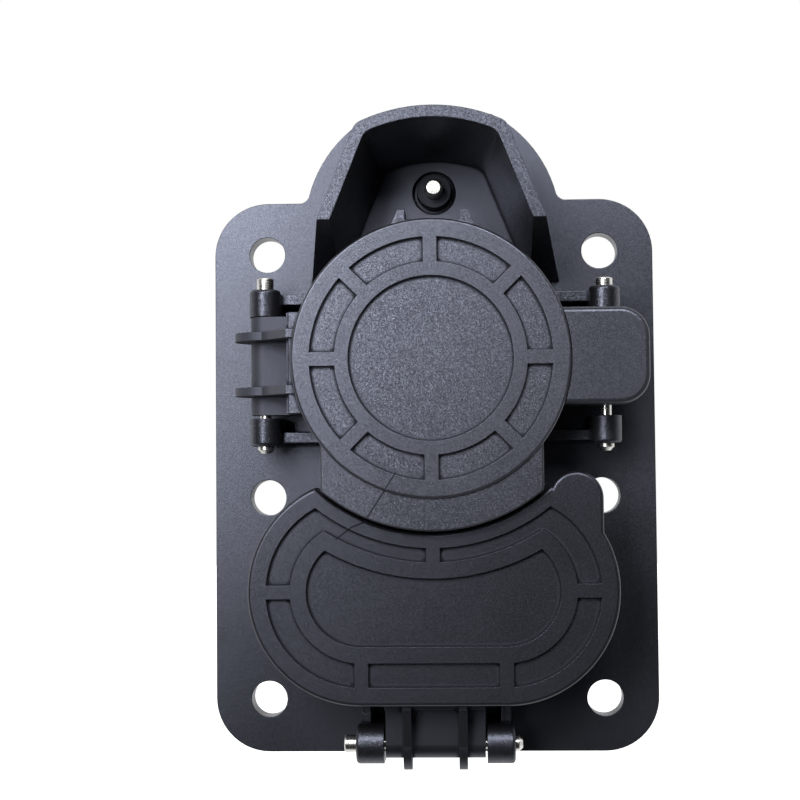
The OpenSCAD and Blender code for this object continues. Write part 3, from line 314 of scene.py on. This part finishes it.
def moulded_plastic(
    name,
    base,
    rough,
    grain,
    glint,
    specular=0.85,
    edge=0.3,
    smooth_below=None,
    arm_rough=0.0,
    floors=None,
    scratch=(),
):
    """Moulded plastic: glinting grain, cloudy sheen, dull corners with painted shade, and paler
    edges.

    rough is the roughness, grain the size of the moulded grain, and glint how far its facets tilt
    and how many pale flecks, painted glints, show. Below the depth smooth_below the grain glints
    less, as on the plate and the arms, and arm_rough is added to the roughness there. floors is a
    pair of depths between which the stronger glint of the pocket floors gives way to that of the
    lid's front. edge is the rounding of the edges, which are paler with wear and a painted
    highlight, and scratch the points of a hairline scratch across the front, drawn dark with the
    painted corner shade.
    """
    material = bpy.data.materials.new(name)
    n = Nodes(material)
    place = n.place()
    depth = n.depth(place)
    cell = grain * MM
    cloud = n.noise(place, CLOUD_SCALE, 3.0, 0.55)
    fine = n.noise(place, 0.5 / cell, 2.0, 0.65)
    facets = n.add("ShaderNodeTexVoronoi", {"Vector": place, "Scale": 1.0 / cell}).outputs["Color"]
    wear = n.noise(n.vector("MULTIPLY", place, WEAR_STRETCH), WEAR_SCALE)
    rounded, near_edge = n.edge(edge)
    # Painted shade in inside corners, with the real scratch drawn dark into the same mark
    corner = n.corner(CORNER_REACH)
    for a, b in zip(scratch, scratch[1:]):
        corner = n.math("MAXIMUM", corner, n.line(place, a, b, SCRATCH_W))

    level = glint
    dull = 0.0
    if smooth_below is not None:
        smooth_end = smooth_below + SMOOTH_BAND
        level = n.ramp(depth, smooth_below, smooth_end, SMOOTH_GLINT * glint, glint)
        dull = n.ramp(depth, smooth_below, smooth_end, arm_rough, 0.0)
    if floors is not None:
        level = n.math("MULTIPLY", level, n.ramp(depth, *floors, POCKET_GLINT, 1.0))

    dark, pale = [tinted(base, k) for k in CLOUD_TONES]
    tint = n.mix(n.ramp(cloud, 0.3, 0.7), dark, pale)
    # Pale flecks of the grain: painted glints, more where the glint is stronger
    painted_glint = n.ramp(n.add("ShaderNodeSeparateColor", {0: facets}).outputs["Blue"], 0.82, 1.0)
    tint = n.mix(n.math("MULTIPLY", painted_glint, level), tint, tinted(base, PAINTED_GLINT_TONE))
    # Paler edges: partly wear, partly a painted highlight on the rounded edges
    worn = n.math("MULTIPLY", near_edge, n.ramp(wear, 0.3, 0.65))
    tint = n.mix(n.math("MULTIPLY", worn, WEAR_AND_HIGHLIGHT_SHARE), tint, tinted(base, WEAR_AND_HIGHLIGHT_TONE))
    # Painted shade darkens the corners, and the scratch with it
    tint = n.mix(corner, tint, tinted(base, CORNER_SHADE_TONE))

    sheen = n.ramp(cloud, 0.25, 0.75, rough - CLOUD_ROUGH, rough + CLOUD_ROUGH)
    roughness = n.math("ADD", sheen, n.ramp(fine, 0.2, 0.8, FINE_ROUGH, -FINE_ROUGH))
    roughness = n.math("ADD", roughness, dull)
    roughness = n.math("MAXIMUM", roughness, n.math("MULTIPLY", corner, CORNER_ROUGH))

    bumped = n.bump(fine, n.math("MULTIPLY", level, FINE_GLINT), FINE_HEIGHT * cell, rounded)
    tilt = n.times(n.vector("SUBTRACT", facets, (0.5, 0.5, 0.5)), level)
    n.shade(
        Base_Color=tint,
        Roughness=roughness,
        Specular_IOR_Level=specular,
        Specular_Tint=rgba(COOL_SHEEN),
        Normal=n.vector("NORMALIZE", n.vector("ADD", bumped, tilt)),
    )
    return material


def turned_steel(name, base, rough, axis):
    """Bright turned metal with fine rings round its axis."""
    material = bpy.data.materials.new(name)
    n = Nodes(material)
    place = n.place()
    stretch = tuple(RING_SCALE * a + RING_DRIFT for a in axis)
    rings = n.noise(n.vector("MULTIPLY", place, stretch), 1.0)
    smear = n.noise(place, SMEAR_SCALE, 3.0, 0.6)
    rounded, near_edge = n.edge(STEEL_EDGE)
    tint = n.mix(n.ramp(smear, 0.35, 0.7), rgba(base), tinted(base, SMEAR_TONE))
    worn = n.math("MULTIPLY", near_edge, STEEL_EDGE_SHARE)
    tint = n.mix(worn, tint, tinted(base, STEEL_EDGE_TONE))
    smooth, ridged = [rough + step for step in RING_ROUGH]
    turned = n.ramp(rings, 0.3, 0.7, smooth, ridged)
    n.shade(
        Base_Color=tint,
        Metallic=1.0,
        Roughness=n.math("ADD", turned, n.ramp(smear, 0.4, 0.8, 0.0, SMEAR_ROUGH)),
        Normal=n.bump(rings, RING_BUMP, RING_HEIGHT * MM, rounded),
    )
    return material


def rubber(name, base):
    """Matt moulded rubber with a dusty bloom."""
    material = bpy.data.materials.new(name)
    n = Nodes(material)
    place = n.place()
    bloom = n.noise(place, BLOOM_SCALE, 4.0, 0.6)
    fine = n.noise(place, RUBBER_SCALE, 2.0, 0.6)
    rounded, near_edge = n.edge(RUBBER_EDGE)
    tint = n.mix(n.ramp(bloom, 0.4, 0.75), rgba(base), tinted(base, BLOOM_TONE))
    worn = n.math("MULTIPLY", near_edge, RUBBER_EDGE_SHARE)
    tint = n.mix(worn, tint, tinted(base, RUBBER_EDGE_TONE))
    n.shade(
        Base_Color=tint,
        Roughness=n.ramp(bloom, 0.3, 0.7, *BLOOM_ROUGH),
        Specular_IOR_Level=RUBBER_SPECULAR,
        Normal=n.bump(fine, RUBBER_BUMP, RUBBER_HEIGHT * MM, rounded),
    )
    return material


# Colours
BLACK = (0.0052, 0.0052, 0.0058)
AC_BLACK = scaled(BLACK, 1.9)
DARK_GREY = (0.045, 0.048, 0.052)
IVORY = (0.66, 0.66, 0.63)
RUBBER_BLACK = (0.014, 0.014, 0.015)
PIN_METAL = (0.80, 0.79, 0.76)
LOCK_METAL = (0.86, 0.85, 0.81)
SILVER = (0.84, 0.81, 0.74)
ZINC = (0.66, 0.65, 0.60)
SPRING_METAL = (0.60, 0.59, 0.57)

# Axes of the turned pieces
ACROSS = (1.0, 0.0, 0.0)
INWARD = (0.0, 1.0, 0.0)
UPRIGHT = (0.0, 0.0, 1.0)

# What the two lids and the lip share
LID = {"rough": 0.36, "grain": 0.20, "edge": 0.15, "scratch": SCRATCH}

# Finishes: a plastic's numbers are its roughness, grain and glint, and a steel's its roughness
HOUSING = moulded_plastic("housing_plastic", BLACK, 0.35, 0.24, 0.14, smooth_below=PLATE_FRONT)
AC_LID = moulded_plastic(
    "ac_lid_plastic",
    AC_BLACK,
    glint=0.08,
    specular=1.0,
    smooth_below=ARM_FRONT,
    arm_rough=0.26,
    floors=POCKET_BAND,
    **LID,
)
LIP = moulded_plastic("lip_plastic", AC_BLACK, glint=0.11, specular=0.94, **LID)
DC_LID = moulded_plastic(
    "dc_lid_plastic",
    BLACK,
    glint=0.06,
    specular=0.68,
    smooth_below=ARM_FRONT,
    arm_rough=0.04,
    **LID,
)
LATCH = moulded_plastic("latch_plastic", scaled(BLACK, 1.4), 0.37, 0.22, 0.07, edge=0.1)
REAR = moulded_plastic("rear_plastic", scaled(BLACK, 1.1), 0.46, 0.28, 0.14)
CARRIER = moulded_plastic("carrier_plastic", scaled(BLACK, 1.5), 0.38, 0.22, 0.06)
SLEEVE = moulded_plastic("sleeve_plastic", scaled(BLACK, 0.5), 0.45, 0.22, 0.05, specular=0.3)
ACTUATOR = moulded_plastic("actuator_plastic", scaled(BLACK, 1.3), 0.48, 0.28, 0.16)
CONNECTOR = moulded_plastic("connector_plastic", DARK_GREY, 0.42, 0.24, 0.08)
GLAND = moulded_plastic("gland_plastic", scaled(BLACK, 1.2), 0.44, 0.24, 0.10)
GUARD = moulded_plastic("guard_plastic", IVORY, 0.40, 0.22, 0.03, specular=0.5)
SEAL = rubber("seal_rubber", RUBBER_BLACK)
PIN_UPRIGHT = turned_steel("pin_steel_upright", PIN_METAL, 0.22, UPRIGHT)
PIN_LEVEL = turned_steel("pin_steel_level", PIN_METAL, 0.22, ACROSS)
LOCK = turned_steel("lock_steel", LOCK_METAL, 0.28, INWARD)
CONTACT = turned_steel("contact_silver", SILVER, 0.24, INWARD)
SCREW = turned_steel("screw_zinc", ZINC, 0.34, INWARD)
SPRING = turned_steel("spring_wire", SPRING_METAL, 0.30, UPRIGHT)

FINISH = {
    "front_housing": HOUSING,
    "ac_lid": AC_LID,
    "ac_lid_seal": SEAL,
    "ac_hinge_pin": PIN_UPRIGHT,
    "latch_lever": LATCH,
    "latch_pin": PIN_UPRIGHT,
    "latch_spring": SPRING,
    "dc_lid": DC_LID,
    "dc_lid_seal": SEAL,
    "dc_hinge_pin": PIN_LEVEL,
    "lock_pin": LOCK,
    "lock_pin_sleeve": SLEEVE,
    "actuator_case": ACTUATOR,
    "actuator_cover": ACTUATOR,
    "actuator_connector": CONNECTOR,
    "actuator_cover_screws": SCREW,
    "actuator_screws": SCREW,
    "ac_contact_carrier": CARRIER,
    "ac_contact_insert": CARRIER,
    "line_contact_1": CONTACT,
    "line_contact_2": CONTACT,
    "earth_contact": CONTACT,
    "pilot_contact": CONTACT,
    "proximity_contact": CONTACT,
    "dc_contact_carrier": CARRIER,
    "dc_contact_positive": CONTACT,
    "dc_contact_negative": CONTACT,
    "touch_guard_positive": GUARD,
    "touch_guard_negative": GUARD,
    "rear_gasket": SEAL,
    "rear_housing": REAR,
    "rear_screws": SCREW,
    "ac_gland_insert": SEAL,
    "ac_gland_nut": GLAND,
    "dc_gland_insert_positive": SEAL,
    "dc_gland_insert_negative": SEAL,
    "dc_gland_nut_positive": GLAND,
    "dc_gland_nut_negative": GLAND,
}


def dress(nodes):
    """Gives each solid its finish."""
    for name, obj in nodes.items():
        obj.data.materials.clear()
        obj.data.materials.append(FINISH[name])


# Pieces that the scene adds


def arc(centre, radius, start, end, steps=ARC_STEPS):
    """Points (x, z) along an arc, from one angle to another in degrees."""
    angles = [math.radians(start + (end - start) * i / steps) for i in range(steps + 1)]
    return [(centre[0] + radius * math.cos(a), centre[1] + radius * math.sin(a)) for a in angles]


def lip_outline():
    """The lip's lower edge, on an arc about the AC lid's centre, and its root in the lid's rim."""
    root_r = AC_LID_R - LIP_ROOT
    low = math.degrees(math.acos(LIP_HALF_W / LIP_R))
    high = math.degrees(math.acos(LIP_HALF_W / root_r))
    edge = arc(AC_CENTRE, LIP_R, 180.0 + low, 360.0 - low)
    return edge, arc(AC_CENTRE, root_r, 360.0 - high, 180.0 + high)


def pad_outline():
    """The pad's outer edge, with two round corners, and its root along the AC lid's edge."""
    r = PAD_CORNER_R
    root_r = AC_LID_R + PAD_GAP
    low = math.degrees(math.asin((PAD_LOW - AC_CENTRE[1]) / root_r))
    high = math.degrees(math.asin((PAD_HIGH - AC_CENTRE[1]) / root_r))
    edge = arc((PAD_OUT - r, PAD_LOW + r), r, -90.0, 0.0, PAD_CORNER_STEPS)
    edge += arc((PAD_OUT - r, PAD_HIGH - r), r, 0.0, 90.0, PAD_CORNER_STEPS)
    return edge, arc(AC_CENTRE, root_r, high, low, PAD_ROOT_STEPS)


def add_slab(name, outline, back, front, edge_r, body, finish):
    """A plate seen from the front, with its edge rounded and its root sharp.

    outline is the points (x, z) of the edge and of the root, and back and front are the depths of
    its faces.
    """
    edge, root = outline
    points = edge + root
    shape = bmesh.new()
    rear, face = [
        [shape.verts.new((x * MM, -depth * MM, z * MM)) for x, z in points]
        for depth in (back, front)
    ]
    shape.faces.new(rear)
    shape.faces.new(face)
    for i in range(len(points)):
        shape.faces.new((rear[i - 1], rear[i], face[i], face[i - 1]))
    bmesh.ops.recalc_face_normals(shape, faces=shape.faces)
    # The front of the edge, with its two joins to the root
    rim = [shape.edges.get((face[i - 1], face[i])) for i in range(len(edge) + 1)]
    bmesh.ops.bevel(
        shape,
        geom=rim,
        offset=edge_r * MM,
        segments=EDGE_STEPS,
        affect="EDGES",
        profile=0.5,
    )
    mesh = bpy.data.meshes.new(name)
    shape.to_mesh(mesh)
    shape.free()
    mesh.shade_smooth()
    mesh.set_sharp_from_angle(angle=math.radians(SHARP_BEND))
    mesh.materials.append(finish)
    piece = bpy.data.objects.new(name, mesh)
    bpy.context.collection.objects.link(piece)
    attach(piece, body)


def add_front_pieces():
    """The lip on the AC lid and the pad on the latch tab."""
    # The pad is rooted just inside the front of the latch tab
    pad_back = -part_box("latch_lever")[0][1] / MM - PAD_ROOT
    add_slab("ac_lid_lip", lip_outline(), LIP_BACK, LIP_FRONT, LIP_EDGE_R, "ac_lid", LIP)
    add_slab("latch_tab_pad", pad_outline(), pad_back, LIP_FRONT, PAD_EDGE_R, "latch", LATCH)


def add_winding_spring(spring):
    """The latch spring, wound between its foot on the plate and its leg under the latch tab."""
    piece = bpy.data.objects.new("latch_spring_coil", spring.data.copy())
    bpy.context.collection.objects.link(piece)
    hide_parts("latch_spring")
    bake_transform(piece)


# Scene


def add_camera():
    """The camera of the photograph."""
    eye = Vector(CAMERA_EYE) * MM
    aim = Vector(CAMERA_AIM) * MM
    forward = (aim - eye).normalized()
    right = forward.cross(Vector((0.0, 0.0, 1.0))).normalized()
    up = right.cross(forward)
    roll = math.radians(CAMERA_ROLL)
    across = right * math.cos(roll) - up * math.sin(roll)
    upward = right * math.sin(roll) + up * math.cos(roll)
    data = bpy.data.cameras.new("camera")
    data.lens = CAMERA_LENS
    data.sensor_width = CAMERA_SENSOR
    data.clip_start = CAMERA_NEAR * MM
    camera = bpy.data.objects.new("camera", data)
    camera.matrix_world = Matrix(
        (
            (across.x, upward.x, -forward.x, eye.x),
            (across.y, upward.y, -forward.y, eye.y),
            (across.z, upward.z, -forward.z, eye.z),
            (0.0, 0.0, 0.0, 1.0),
        )
    )
    bpy.context.collection.objects.link(camera)
    bpy.context.scene.camera = camera


def add_softboxes():
    """The lamps, which light the part and aren't seen."""
    aim = Vector(SOFTBOX_AIM) * MM
    for name, place, power in SOFTBOXES:
        data = bpy.data.lights.new(name, "AREA")
        data.shape = "SQUARE"
        data.size = SOFTBOX_SIDE * MM
        data.energy = power
        light = bpy.data.objects.new(name, data)
        light.location = Vector(place) * MM
        light.rotation_euler = (aim - light.location).to_track_quat("-Z", "Y").to_euler()
        light.visible_camera = False
        bpy.context.collection.objects.link(light)


def add_world():
    """White to the camera and behind the part, and dim in front, where the lamps give the light."""
    world = bpy.data.worlds.new("studio")
    n = Nodes(world, "ShaderNodeOutputWorld")
    way = n.add("ShaderNodeTexCoord").outputs["Generated"]
    towards_back = n.add("ShaderNodeSeparateXYZ", {0: way}).outputs["Y"]
    front = n.ramp(n.rays("Is Glossy Ray"), 0.0, 1.0, WORLD_FRONT, WORLD_FRONT_GLOSSY)
    around = n.ramp(towards_back, *WORLD_RISE, front, 1.0)
    seen = n.rays("Is Camera Ray", "Is Transmission Ray")
    strength = n.math("MAXIMUM", seen, around)
    n.show(n.add("ShaderNodeBackground", {"Color": grey(1.0), "Strength": strength}))
    bpy.context.scene.world = world


def add_floor():
    """A pale floor below the part, white to the camera, that still takes a soft shadow."""
    material = bpy.data.materials.new("pale_floor")
    n = Nodes(material)
    dark, pale = [grey(tone) for tone in FLOOR_TONES]
    tone = n.mix(n.noise(n.place(), 3.0, 3.0), dark, pale)
    diffuse = n.add("ShaderNodeBsdfDiffuse", {"Color": tone}).outputs[0]
    glow = n.add("ShaderNodeEmission", {"Color": grey(1.0), "Strength": FLOOR_GLOW}).outputs[0]
    both = n.add("ShaderNodeAddShader", {0: diffuse, 1: glow}).outputs[0]
    seen = n.rays("Is Camera Ray", "Is Glossy Ray", "Is Transmission Ray")
    n.show(n.add("ShaderNodeMixShader", {0: seen, 1: diffuse, 2: both}))
    bpy.ops.mesh.primitive_plane_add(size=FLOOR_SIDE * MM, location=(0.0, 0.0, FLOOR_Z * MM))
    floor = bpy.context.object
    floor.name = "floor"
    floor.data.materials.append(material)
    floor.visible_glossy = False


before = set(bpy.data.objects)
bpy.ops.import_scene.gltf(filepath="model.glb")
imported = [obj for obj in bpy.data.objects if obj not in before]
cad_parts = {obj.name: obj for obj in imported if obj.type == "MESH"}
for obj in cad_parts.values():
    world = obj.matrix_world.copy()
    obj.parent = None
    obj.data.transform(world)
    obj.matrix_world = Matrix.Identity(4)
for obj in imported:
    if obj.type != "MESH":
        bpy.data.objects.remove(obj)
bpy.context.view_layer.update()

add_camera()
dress(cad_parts)
add_front_pieces()
add_winding_spring(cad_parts["latch_spring"])
add_softboxes()
add_world()
add_floor()

bpy.context.scene.view_settings.view_transform = "Standard"
